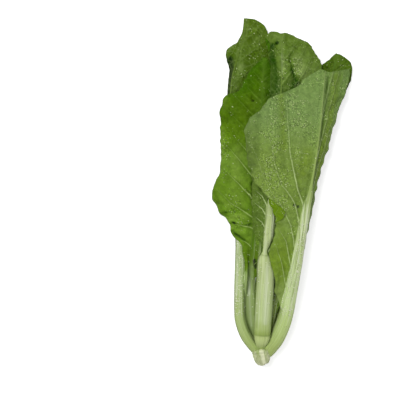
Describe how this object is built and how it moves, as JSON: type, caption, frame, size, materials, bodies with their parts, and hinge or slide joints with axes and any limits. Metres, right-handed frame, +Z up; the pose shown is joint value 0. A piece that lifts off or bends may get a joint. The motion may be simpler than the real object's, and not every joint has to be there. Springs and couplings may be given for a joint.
{
  "type": "mustard greens",
  "caption": "Cut head of leafy mustard greens lying flat: pale fleshy petioles fan out from a short stem base into broad, overlapping green blades with wavy margins.",
  "frame": {"origin": "middle of the footprint on the surface that the head lies on", "axes": "+Y from the cut stem base towards the leaf tips, +Z up off the surface"},
  "size_m": [0.1296, 0.3182, 0.032],
  "materials": {
    "leaf_outer_face": "matte",
    "leaf_inner_face": "matte",
    "stem_flesh": "satin"
  },
  "bodies": {
    "root": {"stem_base": "stem_flesh", "outer_leaf_right": "leaf_outer_face", "outer_leaf_front": "leaf_outer_face", "outer_leaf_left": "leaf_outer_face", "back_leaf_left": "leaf_inner_face", "back_leaf_right": "leaf_inner_face", "back_leaf_middle": "leaf_inner_face", "inner_leaf_right": "leaf_inner_face", "inner_leaf_left": "leaf_inner_face", "heart_leaf_front": "leaf_outer_face", "heart_leaf_back": "leaf_inner_face"}
  },
  "joints": []
}
